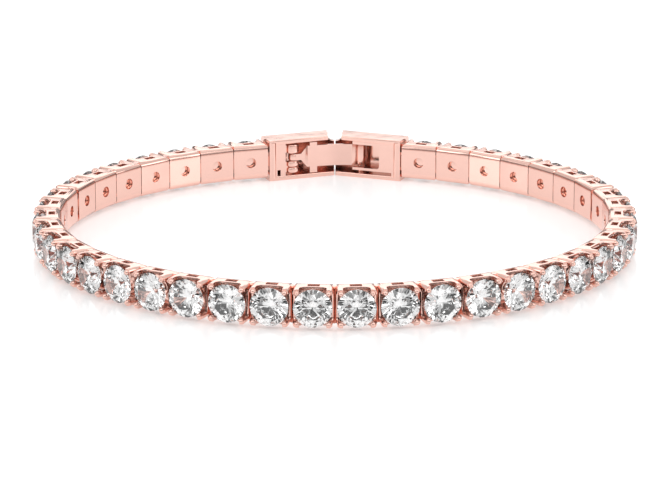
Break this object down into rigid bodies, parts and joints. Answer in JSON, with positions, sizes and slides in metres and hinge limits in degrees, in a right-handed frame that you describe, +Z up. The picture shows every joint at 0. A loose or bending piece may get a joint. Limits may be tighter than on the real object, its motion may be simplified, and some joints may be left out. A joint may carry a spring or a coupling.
{
  "type": "tennis bracelet",
  "caption": "Closed flexible bracelet of square box links, each holding a round brilliant in four claws, with a fold-over clasp and a hinged tongue, standing on its edge.",
  "frame": {"origin": "middle of the loop's box at its base, on the surface the bracelet stands on", "axes": "+Z up, the wrist's own axis, across the band; +X along the loop's longer side, to the right seen from the front; -Y towards the front of the loop, with the clasp at +Y"},
  "size_m": [0.0656, 0.0644, 0.0048],
  "materials": {
    "rose_gold": "polished rose-gold plate",
    "clear_stone": "polished facets"
  },
  "bodies": {
    "bracelet": {"links_01_05": "rose_gold", "links_06_10": "rose_gold", "links_11_15": "rose_gold", "links_16_20": "rose_gold", "links_21_25": "rose_gold", "links_26_30": "rose_gold", "links_31_35": "rose_gold", "links_36_40": "rose_gold", "clasp_hinge_frame": "rose_gold", "clasp_catch_frame": "rose_gold", "clasp_tongue_pin": "rose_gold", "stone_01": "clear_stone", "stone_02": "clear_stone", "stone_03": "clear_stone", "stone_04": "clear_stone", "stone_05": "clear_stone", "stone_06": "clear_stone", "stone_07": "clear_stone", "stone_08": "clear_stone", "stone_09": "clear_stone", "stone_10": "clear_stone", "stone_11": "clear_stone", "stone_12": "clear_stone", "stone_13": "clear_stone", "stone_14": "clear_stone", "stone_15": "clear_stone", "stone_16": "clear_stone", "stone_17": "clear_stone", "stone_18": "clear_stone", "stone_19": "clear_stone", "stone_20": "clear_stone", "stone_21": "clear_stone", "stone_22": "clear_stone", "stone_23": "clear_stone", "stone_24": "clear_stone", "stone_25": "clear_stone", "stone_26": "clear_stone", "stone_27": "clear_stone", "stone_28": "clear_stone", "stone_29": "clear_stone", "stone_30": "clear_stone", "stone_31": "clear_stone", "stone_32": "clear_stone", "stone_33": "clear_stone", "stone_34": "clear_stone", "stone_35": "clear_stone", "stone_36": "clear_stone", "stone_37": "clear_stone", "stone_38": "clear_stone", "stone_39": "clear_stone", "stone_40": "clear_stone"},
    "tongue": {"clasp_tongue": "rose_gold"}
  },
  "joints": [
    {"name": "tongue_hinge", "type": "hinge", "parent": "bracelet", "child": "tongue", "pos_m": [-0.00489, 0.02775, 0.00238], "axis": [0, 0, -1], "range_deg": [0, 110]}
  ]
}
